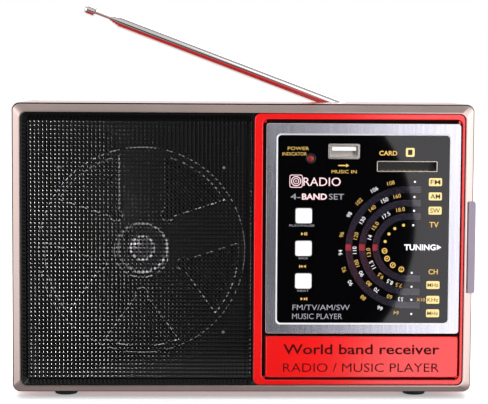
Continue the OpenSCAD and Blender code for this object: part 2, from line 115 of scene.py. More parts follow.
def finish(name, colour, rough, grain, height, stretch=(1, 1, 1), shade=0.06, smudge=0.15, **more):
    # one moulded, cast or plated surface: fine grain in the bump, faint uneven shade and gloss
    # grain and height are in mm, shade and smudge are fractions
    mat, tree = startMaterial(name)
    place = addNode(tree, "ShaderNodeTexCoord")
    mapped = addNode(tree, "ShaderNodeMapping", {"Scale": stretch},
                     {"Vector": place.outputs["Object"]})
    fine = addNode(tree, "ShaderNodeTexNoise", {"Scale": 1 / (grain * mm), "Detail": 3},
                   {"Vector": mapped.outputs[0]})
    broad = addNode(tree, "ShaderNodeTexNoise", {"Scale": 45, "Detail": 4},
                    {"Vector": place.outputs["Object"]})
    base = rgb(colour)
    dark = tuple(v * (1 - shade) for v in base[:3]) + (1,)
    light = tuple(min(1, v * (1 + shade)) for v in base[:3]) + (1,)
    tint = addNode(tree, "ShaderNodeMix", {"data_type": "RGBA", 6: dark, 7: light},
                   {0: broad.outputs["Fac"]})
    gloss = addNode(tree, "ShaderNodeMapRange",
                    {"To Min": rough * (1 - smudge), "To Max": rough * (1 + smudge)},
                    {"Value": broad.outputs["Fac"]})
    bump = addNode(tree, "ShaderNodeBump", {"Strength": 1, "Distance": height * mm},
                   {"Height": fine.outputs["Fac"]})
    shader = addNode(tree, "ShaderNodeBsdfPrincipled", more,
                     {"Base Color": tint.outputs[2], "Roughness": gloss.outputs[0],
                      "Normal": bump.outputs[0]})
    addNode(tree, "ShaderNodeOutputMaterial", {}, {"Surface": shader.outputs[0]})
    return mat


# red ABS from a polished tool: gloss, pale where it is seen nearly edge on
redAbs = finish("gloss red ABS", "AA0503", 0.13, 0.35, 0.0004)
# the panel's ABS is lacquered after moulding: a deep, even red with a hard shine
redLacquer = finish("lacquered red ABS", "D60100", 0.13, 0.5, 0.0004, shade=0.03, IOR=1.75)
# dark red for the letters of the plate: dark and quite dull beside the lacquer
darkLetterRed = finish("dark red letter colour", "3C0100", 0.8, 0.12, 0.002, IOR=1.2)
# black strips on the floor of the groove round the trim: painted shade, nearly black where they
# show in the groove
grooveShade = finish("black groove shade", "120303", 0.9, 0.3, 0.02, IOR=1.2)
# black ABS from a polished tool: deep black with soft highlights on its edges
blackAbs = finish("gloss black ABS", "040304", 0.14, 0.4, 0.0005, IOR=1.45)
# black ABS from a blasted tool: greyer, without clear reflections
satinBlack = finish("satin black ABS", "131214", 0.42, 0.15, 0.002)
# vacuum metallised ABS under a warm tinted lacquer: a soft, slightly pink metal
metallised = finish("metallised ABS", "C9B4AE", 0.3, 0.2, 0.0006, Metallic=1)


def brushedSheet(name, colour, rough, line, length):
    # aluminium sheet brushed up and down: its scratches are line mm wide and length mm long,
    # and they spread a reflection sideways into soft stripes; broader bands shade the whole
    bandWide, bandLong, bandShade = 5, 2, 0.78
    mat, tree = startMaterial(name)
    place = addNode(tree, "ShaderNodeTexCoord")
    patterns = []
    for wide, long in ((line, length), (line * bandWide, length * bandLong)):
        mapped = addNode(tree, "ShaderNodeMapping",
                         {"Scale": (1 / (wide * mm), 1 / (wide * mm), 1 / (long * mm))},
                         {"Vector": place.outputs["Object"]})
        patterns.append(addNode(tree, "ShaderNodeTexNoise", {"Scale": 1, "Detail": 2},
                                {"Vector": mapped.outputs[0]}))
    fine, bands = patterns
    base = rgb(colour)
    dark = tuple(v * bandShade for v in base[:3]) + (1,)
    tint = addNode(tree, "ShaderNodeMix", {"data_type": "RGBA", 6: dark, 7: base},
                   {0: bands.outputs["Fac"]})
    gloss = addNode(tree, "ShaderNodeMapRange", {"To Min": rough * 0.8, "To Max": rough * 1.3},
                    {"Value": fine.outputs["Fac"]})
    bump = addNode(tree, "ShaderNodeBump", {"Strength": 0.5, "Distance": 0.01 * mm},
                   {"Height": fine.outputs["Fac"]})
    shader = addNode(tree, "ShaderNodeBsdfPrincipled", {"Metallic": 1},
                     {"Base Color": tint.outputs[2], "Roughness": gloss.outputs[0],
                      "Normal": bump.outputs[0]})
    addNode(tree, "ShaderNodeOutputMaterial", {}, {"Surface": shader.outputs[0]})
    return mat


# aluminium sheet, brushed up and down: cool grey with fine upright streaks
brushed = brushedSheet("brushed aluminium", "E0E2EE", 0.2, 0.22, 14)
# the sheet's edges get a lighter, whiter metal than the brushed face: a painted highlight that
# shows under light from all round
edgeHighlight = finish("aluminium edge with painted highlight", "F6F6FA", 0.5, 0.1, 0.0005, shade=0.02,
                 Metallic=0.55)
# perforated steel sheet under black stove enamel: deep black, gloss
blackEnamel = finish("black stove enamel", "020202", 0.12, 0.6, 0.0004, IOR=1.5)
# the punch leaves a rounded rim where the enamel runs thin: each hole glints on one side
thinEnamel = finish("thin enamel on punched steel", "060506", 0.2, 0.3, 0.0003, IOR=1.5)
# acrylic sheet, painted black on its back: a black mirror
blackAcrylic = finish("back painted acrylic", "020203", 0.03, 2, 0.0004, smudge=0.3)
# white ABS from a polished tool: clean white with a soft shine
whiteAbs = finish("gloss white ABS", "E6E2E6", 0.25, 0.3, 0.001, shade=0.02)
# grey ABS from a blasted tool: a dull lilac grey
greyAbs = finish("grey ABS", "857A8A", 0.4, 0.2, 0.002)
# brass tube, nickel and chrome plated, polished: mirrors the room in bands along the tube
chrome = finish("chrome plated brass", "E6E2E2", 0.07, 0.4, 0.0002, shade=0.02, Metallic=1)
# dull nickel on pressed steel: a warm metal with soft reflections
nickel = finish("nickel plated steel", "D8D4CC", 0.2, 0.15, 0.0006, Metallic=1)
# zinc plate on screws: grey and slightly grainy
zinc = finish("zinc plated steel", "A9A9AC", 0.36, 0.2, 0.002, Metallic=1)
# thin gold on springs and contacts: yellow metal
goldPlate = finish("gold flash plating", "D9B25A", 0.22, 0.15, 0.0005, Metallic=1)
# moulded rubber: no shine, coarse skin
rubber = finish("black rubber", "121112", 0.75, 0.25, 0.01)
# brass turned on a lathe: fine rings round it
brass = finish("turned brass", "C9A45A", 0.28, 0.1, 0.001, stretch=(1, 0.1, 1), Metallic=1)
# moulded polypropylene: milky, waxy
creamPlastic = finish("cream polypropylene", "DEDACC", 0.4, 0.3, 0.002)
# solder mask over glass fibre board: dark green, half gloss
greenBoard = finish("green solder mask", "1E5230", 0.35, 0.5, 0.004)
# pressed phenolic paper: brown, half dull
brownBoard = finish("phenolic paper board", "8A6428", 0.5, 0.3, 0.004)
# enamelled wire, wound: copper with the turns as fine ridges
copper = finish("enamelled copper wire", "B5652C", 0.3, 0.25, 0.03, stretch=(1, 1, 0.2),
                Metallic=1)
# sintered ferrite: nearly black, like fine stone
ferrite = finish("sintered ferrite", "2E2C2C", 0.5, 0.4, 0.01)
# stacked sheets of core steel: grey with the sheets as lines
lamination = finish("stacked core steel", "6C6A66", 0.45, 0.5, 0.02, stretch=(0.1, 1, 0.1),
                    Metallic=0.8)
# pressed paper pulp: black and fibrous, no shine
paperCone = finish("pressed paper pulp", "161415", 0.85, 0.6, 0.03)
# varnished aluminium foil pressed into a dome: a dark soft metal
polishedCap = finish("pressed aluminium foil", "5A565A", 0.3, 0.4, 0.0008, Metallic=0.8)
# light grey metal along the edges of the spokes: a painted highlight for the bright outlines of
# the black trim
spokeEdgeHighlight = finish("spoke edges with painted highlight", "B0ACB2", 0.38, 0.1, 0.0005, Metallic=0.4)
# bright turned rings of the dust cap: they scatter light back through the holes
brightTurned = finish("bright turned aluminium", "F4F2F8", 0.38, 0.1, 0.0005, shade=0.02,
                      Metallic=0.35)
# screen printed inks: flat, dull and even, each a film on the window
whiteInk = finish("white screen ink", "F2F0F4", 0.5, 0.1, 0.001, shade=0.03)
pinkInk = finish("pale pink screen ink", "E8C4C8", 0.5, 0.1, 0.001, shade=0.03)
greyInk = finish("grey screen ink", "8E8C96", 0.5, 0.1, 0.001, shade=0.05)
goldInk = finish("gold screen ink", "D8AE52", 0.45, 0.1, 0.001, shade=0.05)
boxInk = finish("pale gold screen ink", "EBD08A", 0.45, 0.1, 0.001, shade=0.03)
darkInk = finish("dark screen ink", "2A2010", 0.5, 0.1, 0.001)
# red paint with a painted glow: brighter than its surroundings, as if lit, though no lamp is there
pointerRed = finish("red paint with painted glow", "FF4A3A", 0.5, 0.2, 0.002,
                    **{"Emission Color": rgb("FF4636"), "Emission Strength": 1.5})
# clear red epoxy, unlit: a dark red dome with a faint glow of its own
ledRed = finish("red epoxy", "6A0504", 0.12, 0.3, 0.0005,
                **{"Emission Color": rgb("D01810"), "Emission Strength": 0.12})
# smoked clear acrylic strips let into the dial window: the card behind shows dimly
smokedAcrylic = finish("smoked clear acrylic", "7E7894", 0.03, 2, 0.0002, smudge=0.3, IOR=1.65,
                       **{"Transmission Weight": 1.0})


def cardWithPaintedGlow(name, colour, glow, place, reach):
    # matt black card behind the dial with a painted red glow round the pointers: the material
    # glows by itself, and no lamp is there; place and reach are in mm
    mat, tree = startMaterial(name)
    coords = addNode(tree, "ShaderNodeTexCoord")
    fibre = addNode(tree, "ShaderNodeTexNoise", {"Scale": 3000, "Detail": 2},
                    {"Vector": coords.outputs["Object"]})
    bump = addNode(tree, "ShaderNodeBump", {"Strength": 0.3, "Distance": 0.01 * mm},
                   {"Height": fibre.outputs["Fac"]})
    away = addNode(tree, "ShaderNodeVectorMath",
                   {"operation": "DISTANCE", 1: Vector(place) * mm}, {0: coords.outputs["Object"]})
    fall = addNode(tree, "ShaderNodeMapRange",
                   {"interpolation_type": "SMOOTHSTEP", "From Min": 0, "From Max": reach * mm,
                    "To Min": 1, "To Max": 0}, {"Value": away.outputs["Value"]})
    lamp = addNode(tree, "ShaderNodeMix", {"data_type": "RGBA", 6: (0, 0, 0, 1), 7: rgb(glow)},
                   {0: fall.outputs[0]})
    shader = addNode(tree, "ShaderNodeBsdfPrincipled",
                     {"Base Color": rgb(colour), "Roughness": 0.7, "Emission Strength": 1},
                     {"Emission Color": lamp.outputs[2], "Normal": bump.outputs[0]})
    addNode(tree, "ShaderNodeOutputMaterial", {}, {"Surface": shader.outputs[0]})
    return mat


# black card: no shine, with a painted red glow near the pointers
discBlack = cardWithPaintedGlow("matt black card with painted red glow", "0A0912", "6A2420", (50, -30.7, 64), 24)
print("materials made")

finishes = {
    redAbs: "rear_cabinet battery_door",
    redLacquer: "front_panel name_plate",
    blackAbs: "front_housing grille_surround speaker_trim",
    metallised: "front_frame",
    brushed: "trim_frame",
    blackEnamel: "speaker_mesh",
    satinBlack: "speaker_basket band_knob function_knob headphone_jack mains_inlet"
                " battery_tray board_parts tact_switches",
    paperCone: "speaker_cone",
    blackAcrylic: "dial_lens",
    smokedAcrylic: "arc_windows",
    greyAbs: "tuning_wheel volume_wheel wheel_guard",
    discBlack: "dial_disc",
    brass: "tuning_shaft",
    goldPlate: "card_contacts",
    creamPlastic: "tuning_capacitor",
    whiteAbs: "play_button back_button next_button usb_tongue",
    greenBoard: "media_board",
    brownBoard: "main_board",
    ledRed: "led",
    nickel: "usb_shell card_shell band_switch function_switch volume_control if_cans"
            " battery_contacts",
    zinc: "wheel_screw cabinet_screws board_screws antenna_screw antenna_pin",
    ferrite: "ferrite_rod speaker_magnet",
    copper: "antenna_coils transformer_winding",
    lamination: "transformer_core",
    rubber: "feet",
    chrome: "antenna_foot antenna_elbow antenna_tube_1 antenna_tube_2 antenna_tube_3"
            " antenna_tube_4 antenna_rod",
}
finishOf = {}
for mat, names in finishes.items():
    for name in names.split():
        finishOf[name] = mat
        slots = nodes[name].data.materials
        slots.clear()
        slots.append(mat)
bodies = frame["record"]["behaviour"]["bodies"]
bodyOf = {name: body for body, names in bodies.items() for name in names}
print("frame nodes finished")


def addPiece(name, bm, mat, body, smooth=35, bevel=None, edgeMat=None):
    # a finished bmesh, in metres, becomes a piece that rides on a body
    mesh = bpy.data.meshes.new(name)
    bm.to_mesh(mesh)
    bm.free()
    obj = bpy.data.objects.new(name, mesh)
    scene.collection.objects.link(obj)
    mesh.materials.append(mat)
    if edgeMat:
        mesh.materials.append(edgeMat)
    if bevel:
        mod = obj.modifiers.new("edge", "BEVEL")
        mod.width = bevel * mm
        mod.segments = 2
        mod.limit_method = "ANGLE"
        mod.angle_limit = radians(30)
        mod.material = 1 if edgeMat else -1
        mesh.shade_smooth()
    mesh.set_sharp_from_angle(angle=radians(smooth))
    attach(obj, body)
    return obj


def tidy(bm):
    bmesh.ops.remove_doubles(bm, verts=bm.verts, dist=1e-6)
    bmesh.ops.recalc_face_normals(bm, faces=bm.faces)


def copyOf(node):
    # the node's own surface with its loose triangles joined and its flat areas made whole
    bm = bmesh.new()
    bm.from_mesh(nodes[node].data)
    tidy(bm)
    bmesh.ops.dissolve_limit(bm, angle_limit=radians(1), verts=bm.verts, edges=bm.edges)
    return bm


# moulded and pressed pieces get the small edge radius that the real ones have, in mm
edgeRadius = {
    "rear_cabinet": 0.5, "front_housing": 0.25, "front_frame": 0.18, "grille_surround": 0.15,
    "front_panel": 0.3, "name_plate": 0.3, "trim_frame": 0.3, "wheel_guard": 0.3,
    "play_button": 0.35, "back_button": 0.35, "next_button": 0.35, "battery_door": 0.3,
    "band_knob": 0.3, "function_knob": 0.3, "feet": 0.5, "speaker_trim": 0.35,
    "usb_tongue": 0.15, "usb_shell": 0.1, "card_shell": 0.1,
    "antenna_foot": 0.25, "antenna_elbow": 0.25, "mains_inlet": 0.25,
}
# the bevels of these pieces get a lighter material: a painted highlight along their edges
highlightedEdges = {"trim_frame": edgeHighlight, "speaker_trim": spokeEdgeHighlight}
for node, radius in edgeRadius.items():
    bm = copyOf(node)
    if node == "trim_frame":  # the slope round the window gets the painted highlight as well
        for f in bm.faces:
            f.material_index = 1 if 0.5 < -f.normal.y < 0.9 else 0
    piece = addPiece(node + "_shell", bm, finishOf[node], bodyOf[node],
                     bevel=radius, edgeMat=highlightedEdges.get(node))
    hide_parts(node)
print("edges rounded")


def onFront(y=0, x=0, z=0):
    # turns a flat shape drawn in x and y so that it stands on the front, facing the camera
    return Matrix.Translation(Vector((x, y, z)) * mm) @ Matrix.Rotation(pi / 2, 4, "X")


def spun(profile, x, z, steps=64):
    # profile is (radius, y) pairs in mm, turned about a line along y through x and z
    bm = bmesh.new()
    verts = [bm.verts.new(Vector((x + r, y, z)) * mm) for r, y in profile]
    lines = [bm.edges.new(pair) for pair in zip(verts, verts[1:])]
    bmesh.ops.spin(bm, geom=verts + lines, cent=Vector((x, 0, z)) * mm, axis=(0, 1, 0),
                   angle=2 * pi, steps=steps, use_merge=True)
    tidy(bm)
    return bm


def joinInto(bm, new):
    mesh = bpy.data.meshes.new("part")
    new.to_mesh(mesh)
    new.free()
    bm.from_mesh(mesh)
    bpy.data.meshes.remove(mesh)


# speaker mesh: punched sheet, real holes in a square pattern
mesh = {
    "pitch": 1.84,     # mm from hole to hole
    "hole": 1.4,       # mm across
    "rounded": 0.15,   # width of the rounded rim that the punch leaves, and its depth
    "depth": 0.065,
    "sides": 8,
    "margin": 0.4,     # mm of plain sheet at least, all round
}


def speakerMesh(m):
    left, right, front, back, bottom, top = edges("speaker_mesh")
    pitch, hole = m["pitch"] * mm, m["hole"] / 2 * mm
    thick = (back - front) * mm
    across = int((right - left - 2 * m["margin"]) / m["pitch"])
    up = int((top - bottom - 2 * m["margin"]) / m["pitch"])
    bm = bmesh.new()
    wide = hole + m["rounded"] * mm
    # one cell: square land round the hole, its rounded rim, the same land at the back, the wall
    rings = []
    for sides, radius, depth in ((4, pitch / 2 ** 0.5, 0), (m["sides"], wide, 0),
                                 (m["sides"], hole, m["depth"] * mm)):
        ring = bmesh.ops.create_circle(bm, segments=sides, radius=radius)["verts"]
        if sides == 4:
            bmesh.ops.rotate(bm, verts=ring, matrix=Matrix.Rotation(pi / 4, 3, "Z"))
        bmesh.ops.translate(bm, verts=ring, vec=(0, 0, -depth))
        rings.append([e for e in bm.edges if e.verts[0] in ring and e.verts[1] in ring])
    land = bmesh.ops.bridge_loops(bm, edges=rings[0] + rings[1])["faces"]
    new = bmesh.ops.duplicate(bm, geom=land)["geom"]
    bmesh.ops.translate(bm, verts=[g for g in new if isinstance(g, bmesh.types.BMVert)],
                        vec=(0, 0, -thick))
    rings.append([g for g in new if isinstance(g, bmesh.types.BMEdge)
                  and max(v.co.xy.length for v in g.verts) < wide * 1.01])
    for f in bmesh.ops.bridge_loops(bm, edges=rings[1] + rings[2])["faces"]:
        f.material_index = 1  # the rim
    bmesh.ops.bridge_loops(bm, edges=rings[2] + rings[3])
    for count, step in ((across, Vector((pitch, 0, 0))), (up, Vector((0, pitch, 0)))):
        cell = bm.verts[:] + bm.edges[:] + bm.faces[:]
        for n in range(1, count):
            new = bmesh.ops.duplicate(bm, geom=cell)["geom"]
            bmesh.ops.translate(bm, verts=[g for g in new if isinstance(g, bmesh.types.BMVert)],
                                vec=step * n)
    bmesh.ops.remove_doubles(bm, verts=bm.verts, dist=1e-6)
    bmesh.ops.translate(bm, verts=bm.verts,
                        vec=(-(across - 1) * pitch / 2, -(up - 1) * pitch / 2, 0))
    limitX, limitY = across * pitch / 2, up * pitch / 2
    # plain sheet round the pattern, front and back, then the cut edge
    outside = [e for e in bm.edges if e.is_boundary]
    new = bmesh.ops.extrude_edge_only(bm, edges=outside)["geom"]
    for v in (g for g in new if isinstance(g, bmesh.types.BMVert)):
        if abs(abs(v.co.x) - limitX) < 1e-6:
            v.co.x = (right - left) / 2 * mm * (1 if v.co.x > 0 else -1)
        if abs(abs(v.co.y) - limitY) < 1e-6:
            v.co.y = (top - bottom) / 2 * mm * (1 if v.co.y > 0 else -1)
    bmesh.ops.bridge_loops(bm, edges=[e for e in bm.edges if e.is_boundary])
    bmesh.ops.recalc_face_normals(bm, faces=bm.faces)
    bmesh.ops.transform(bm, verts=bm.verts,
                        matrix=onFront(front, (left + right) / 2, (bottom + top) / 2))
    print("mesh holes", across, up, "triangles", sum(len(f.verts) - 2 for f in bm.faces))
    piece = addPiece("speaker_mesh_punched", bm, blackEnamel, "case", smooth=20,
                     edgeMat=thinEnamel)
    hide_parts("speaker_mesh")


speakerMesh(mesh)
print("speaker mesh punched")

# speaker behind the mesh: pleated edge of the cone and a bright dust cap
speaker = {
    "cap": [(12.2, -17.3), (12.2, -18.3), (11.2, -18.7), (10.7, -18.2), (8.6, -20.2), (5.9, -21.4),
            (5.4, -21.0), (4.9, -21.7), (2.6, -22.3), (0, -22.5)],
    "rings": ((11.4, -18.9, 0.75), (5.3, -21.8, 0.6)),  # radius, y and how thick
    "pleats": 3, "pleatDepth": 0.4, "edgeInner": 36.2, "edgeOuter": 39.7, "edgeY": -27.1,
}


def makeSpeaker(s):
    left, right, front, back, bottom, top = edges("speaker_cone")
    x, z = (left + right) / 2, (bottom + top) / 2
    cap = spun(s["cap"], x, z)
    bmesh.ops.solidify(cap, geom=cap.faces[:], thickness=0.25 * mm)
    bmesh.ops.recalc_face_normals(cap, faces=cap.faces)
    caps = len(cap.faces)
    for radius, y, wire in s["rings"]:  # two rounded rings stand out of the cap
        ring = spun([(radius + wire * cos(a), y + wire * sin(a))
                     for a in (2 * pi * n / 10 for n in range(11))], x, z)
        joinInto(cap, ring)
    for n, f in enumerate(cap.faces):
        f.material_index = 0 if n < caps else 1
    addPiece("dust_cap", cap, polishedCap, "cone", smooth=30,
             edgeMat=brightTurned)
    count = s["pleats"] * 8
    profile = [(s["edgeInner"] + (s["edgeOuter"] - s["edgeInner"]) * n / count,
                s["edgeY"] - s["pleatDepth"] * sin(2 * pi * n / 8)) for n in range(count + 1)]
    edge = spun(profile, x, z)
    bmesh.ops.solidify(edge, geom=edge.faces[:], thickness=0.25 * mm)
    bmesh.ops.recalc_face_normals(edge, faces=edge.faces)
    addPiece("cone_edge", edge, paperCone, "cone", smooth=60)


makeSpeaker(speaker)
print("speaker finished")

# thumbwheels get a grip: fine teeth across the rim
grips = {
    # mm: how far the teeth stand out, how deep the ring is, its width and the gap at each face
    "tuning_wheel": {"teeth": 110, "proud": 0.28, "inset": 1.2, "wide": 5, "gap": 0.15},
    "volume_wheel": {"teeth": 50, "proud": 0.28, "inset": 1.2, "wide": 5, "gap": 0.15},
}


def wheelGrip(node, g):
    low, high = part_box(node)
    radius = (high.x - low.x) / 2
    front = low.y
    back = front + g["wide"] * mm
    bm = bmesh.new()
    rim = bmesh.ops.create_circle(bm, segments=g["teeth"] * 4, radius=radius - 0.05 * mm)["verts"]
    for n, v in enumerate(rim):
        if n % 4 < 2:
            v.co *= (radius + g["proud"] * mm) / v.co.length
    bmesh.ops.create_circle(bm, segments=g["teeth"] * 4, radius=radius - g["inset"] * mm)
    bmesh.ops.bridge_loops(bm, edges=bm.edges)
    thick = bmesh.ops.extrude_face_region(bm, geom=bm.faces[:])["geom"]
    bmesh.ops.translate(bm, verts=[v for v in thick if isinstance(v, bmesh.types.BMVert)],
                        vec=(0, 0, back - front - 2 * g["gap"] * mm))
    tidy(bm)
    bmesh.ops.transform(bm, verts=bm.verts, matrix=onFront(
        back / mm - g["gap"], (low.x + high.x) / 2 / mm, (low.z + high.z) / 2 / mm))
    addPiece(node + "_grip", bm, greyAbs, bodyOf[node], smooth=30)


for node, g in grips.items():
    wheelGrip(node, g)
print("wheels knurled")


# printing: every word and mark of one ink is one thin raised piece
capital = 0.69    # how high a capital is, as a part of the letter size
filmHalf = 0.02   # half the depth a letter is extruded to before it is flattened to ink
filmStep = 0.03   # mm of ink


def inkWords(bm, words, x, z, height, width=None, turn=0, bold=0.0, y=0, thick=filmStep):
    # words stand centred on x and z, height is that of a capital; width squeezes them to fit
    curve = bpy.data.curves.new("words", "FONT")
    curve.body = words
    curve.align_x = "CENTER"
    curve.extrude = filmHalf
    curve.offset = bold
    curve.resolution_u = 3
    obj = bpy.data.objects.new("words", curve)
    scene.collection.objects.link(obj)
    graph = bpy.context.evaluated_depsgraph_get()
    flat = bpy.data.meshes.new_from_object(obj.evaluated_get(graph))
    bpy.data.objects.remove(obj)
    new = bmesh.new()
    new.from_mesh(flat)
    bpy.data.meshes.remove(flat)
    tidy(new)
    long = max(v.co.x for v in new.verts) - min(v.co.x for v in new.verts)
    tall = height * mm / capital
    wide = width * mm / long if width else tall
    middle = (max(v.co.x for v in new.verts) + min(v.co.x for v in new.verts)) / 2
    place = (onFront(y, x, z) @ Matrix.Rotation(radians(turn), 4, "Z")
             @ Matrix.Diagonal((wide, tall, thick * mm / (2 * filmHalf), 1))
             @ Matrix.Translation((-middle, -capital / 2, 0)))
    bmesh.ops.transform(new, matrix=place, verts=new.verts)
    joinInto(bm, new)


def inkShape(bm, kind, x, z, wide, high, turn=0, y=0, thick=filmStep, hollow=0.0):
    # flat marks: box (round corners), dot, ring, triangle (points right)
    new = bmesh.new()
    if kind == "box":
        bmesh.ops.create_grid(new, x_segments=1, y_segments=1, size=0.5)
        bmesh.ops.scale(new, vec=(wide, high, 1), verts=new.verts)
        bmesh.ops.bevel(new, geom=new.verts[:], offset=min(wide, high) * 0.16, affect="VERTICES",
                        segments=3, profile=0.5, material=-1, offset_type="OFFSET")
    else:
        sides = {"dot": 16, "ring": 24, "triangle": 3}[kind]
        bmesh.ops.create_circle(new, cap_ends=True, segments=sides, radius=0.5)
        if kind == "triangle":
            bmesh.ops.rotate(new, matrix=Matrix.Rotation(-pi / 2, 3, "Z"), verts=new.verts)
        bmesh.ops.scale(new, vec=(wide, high, 1), verts=new.verts)
    if hollow:
        inner = bmesh.ops.inset_region(new, faces=new.faces[:], thickness=hollow,
                                       use_even_offset=True, use_boundary=True)
        middle = [f for f in new.faces if f not in inner["faces"]]
        bmesh.ops.delete(new, geom=middle, context="FACES")
    bmesh.ops.recalc_face_normals(new, faces=new.faces)
    raised = bmesh.ops.extrude_face_region(new, geom=new.faces[:])["geom"]
    bmesh.ops.translate(new, vec=(0, 0, thick),
                        verts=[v for v in raised if isinstance(v, bmesh.types.BMVert)])
    bmesh.ops.scale(new, vec=(mm, mm, mm), verts=new.verts)
    bmesh.ops.recalc_face_normals(new, faces=new.faces)
    bmesh.ops.transform(new, verts=new.verts,
                        matrix=onFront(y, x, z) @ Matrix.Rotation(radians(turn), 4, "Z"))
    joinInto(bm, new)


lensFront = edges("dial_lens")[2]
plateFront = edges("name_plate")[2]
dialX = (edges("dial_disc")[0] + edges("dial_disc")[1]) / 2
dialZ = (edges("dial_disc")[4] + edges("dial_disc")[5]) / 2

# each scale: how far out it stands (mm) and its numbers at their angles, the ink changing in turn
scales = {
    "outer": {"radius": 30.4,
              "numbers": "108@104.6 106@119.8 102@136.5 98@150.6 96@169 94@184.5 92@199.6"
                         " 90@212.5 88@229.5 66@246.7 64@261.3"},
    "middle": {"radius": 23.9,
               "numbers": "160@101.4 150@115.7 140@131.9 130@148.8 120@167.3 110@183.1"
                          " 100@197.8 90@210.4 80@224 70@235.1 60@251.3 53@263.9"},
    "inner": {"radius": 17.6,
              "numbers": "18.0@100.1 17.5@123.2 15.0@145.9 14@164.7 13.0@187.3 11.5@207"
                         " 9.5@227.9 8.5@244.6 7.5@258.6"},
}
# marks on the innermost ring: dots, then circled figures
channels = {"radius": 10.3, "dots": (99.2, 123, 143.2, 164.7), "dotWide": 1.35,
            "figures": (("5", 188.9), ("4", 209.8), ("3", 231.9), ("2", 256.5)), "ringWide": 2.6}
bandBoxes = (("FM", 87.3, 99.8), ("AM", 87.3, 93.3), ("SW", 87.3, 86.8), ("MHz", 86.8, 52.7),
             ("KHz", 86.8, 45.9), ("MHz", 86.8, 39.7))
tickDots = ((77.9, 99.9), (77.8, 93.0), (77.7, 86.7), (77.4, 80.1), (77.0, 58.3), (77.0, 51.9),
            (77.0, 45.9), (77.0, 39.35))
# words on the window: ink, words, x and z of their middle, height, width or None, boldness
lensWords = (
    ("gold", "TV", 86.9, 80.4, 2.4, None, 0.015),
    ("gold", "CH", 86.8, 58.8, 2.2, None, 0.015),
    ("gold", "X10", 81.3, 45.9, 1.6, None, -0.005),
    ("white", "TUNING", 80.6, 70.0, 2.5, 14.4, 0.03),
    ("gold", "POWER", 24.7, 114.9, 1.5, 9.6, -0.006),
    ("gold", "INDICATOR", 23.0, 112.4, 1.5, 11.0, -0.006),
    ("gold", "MUSIC IN", 45.6, 104.4, 1.5, 11.4, -0.004),
    ("gold", "CARD", 65.6, 112.9, 2.0, 8.2, 0.02),
    ("pink", "RADIO", 35.6, 99.8, 3.8, 17.0, 0.0),
    ("grey", "4-", 23.6, 93.0, 2.6, 4.4, 0.0),
    ("pink", "BAND", 32.2, 93.0, 2.6, 11.4, 0.03),
    ("grey", "SET", 42.2, 93.0, 2.6, 6.8, 0.0),
    ("grey", "FM/TV/AM/SW", 35.7, 42.3, 2.5, 26.2, -0.004),
    ("grey", "MUSIC PLAYER", 33.9, 38.2, 2.5, 22.8, -0.004),
)
# marks on the window: ink, kind, x, z, width, height, and how wide a line where hollow. The
# rings round a dot in a square are a plain sign for radio waves
lensMarks = (
    ("white", "triangle", 89.0, 70.0, 2.9, 2.9, 0),
    ("gold", "triangle", 46.9, 107.2, 1.9, 1.9, 0),
    ("gold", "box", 44.6, 107.2, 3.4, 0.5, 0),
    ("pale", "box", 75.6, 113.3, 4.0, 4.0, 0),
    ("pink", "box", 23.8, 100.0, 6.0, 5.9, 0.35),
    ("pink", "ring", 23.8, 100.0, 4.6, 4.6, 0.4),
    ("pink", "ring", 23.8, 100.0, 2.8, 2.8, 0.35),
    ("grey", "dot", 23.8, 100.0, 1.1, 1.1, 0),
)
# keys, lowest first: caption, its width and its shift to the side; back points left
keys = {
    "x": 27.4, "low": 54.5, "step": 14.9, "captionDown": 4.5, "signDown": 8.3,
    "captions": (("NEXT", 5.2, 0), ("BACK", 4.2, 0), ("PLAY/PAUSE", 11.4, -0.8)),
}
inks = {"gold": goldInk, "white": whiteInk, "grey": greyInk, "pink": pinkInk,
        "pale": boxInk, "dark": darkInk}
inkPieces = {"print_gold": "gold", "print_white": "white", "print_grey": "grey",
             "print_pink": "pink", "print_pale_gold": "pale", "print_dark": "dark"}


def printScales(ink):
    for scale in scales.values():
        for n, label in enumerate(scale["numbers"].split()):
            number, angle = label.split("@")
            a, out = radians(float(angle)), scale["radius"]
            inkWords(ink["white" if n % 2 else "gold"], number, dialX + out * cos(a),
                     dialZ + out * sin(a), 1.8, turn=float(angle) - 90, bold=-0.008, y=lensFront)
    out = channels["radius"]
    for angle in channels["dots"]:
        a, wide = radians(angle), channels["dotWide"]
        inkShape(ink["gold"], "dot", dialX + out * cos(a), dialZ + out * sin(a), wide, wide,
                 y=lensFront)
    for figure, angle in channels["figures"]:
        a, wide = radians(angle), channels["ringWide"]
        x, z = dialX + out * cos(a), dialZ + out * sin(a)
        inkShape(ink["gold"], "ring", x, z, wide, wide, y=lensFront, hollow=0.4)
        inkWords(ink["gold"], figure, x, z, 1.25, turn=angle - 90, bold=0.02, y=lensFront)


def printKeys(ink, k):
    for n, (words, wide, shift) in enumerate(k["captions"]):
        z = k["low"] + k["step"] * n
        inkWords(ink["grey"], words, k["x"] + shift, z - k["captionDown"], 0.95, width=wide,
                 y=lensFront)
        z -= k["signDown"]
        way, turn = (-1, 180) if words == "BACK" else (1, 0)
        inkShape(ink["gold"], "triangle", k["x"] - 0.75 * way, z, 1.5, 1.5, turn=turn, y=lensFront)
        if words == "PLAY/PAUSE":  # an arrow and two bars
            for shift in (0.6, 1.4):
                inkShape(ink["gold"], "box", k["x"] + shift, z, 0.45, 1.4, y=lensFront)
        else:  # two arrows and a bar
            inkShape(ink["gold"], "triangle", k["x"] + 0.75 * way, z, 1.5, 1.5, turn=turn,
                     y=lensFront)
            inkShape(ink["gold"], "box", k["x"] + 1.7 * way, z, 0.4, 1.4, y=lensFront)


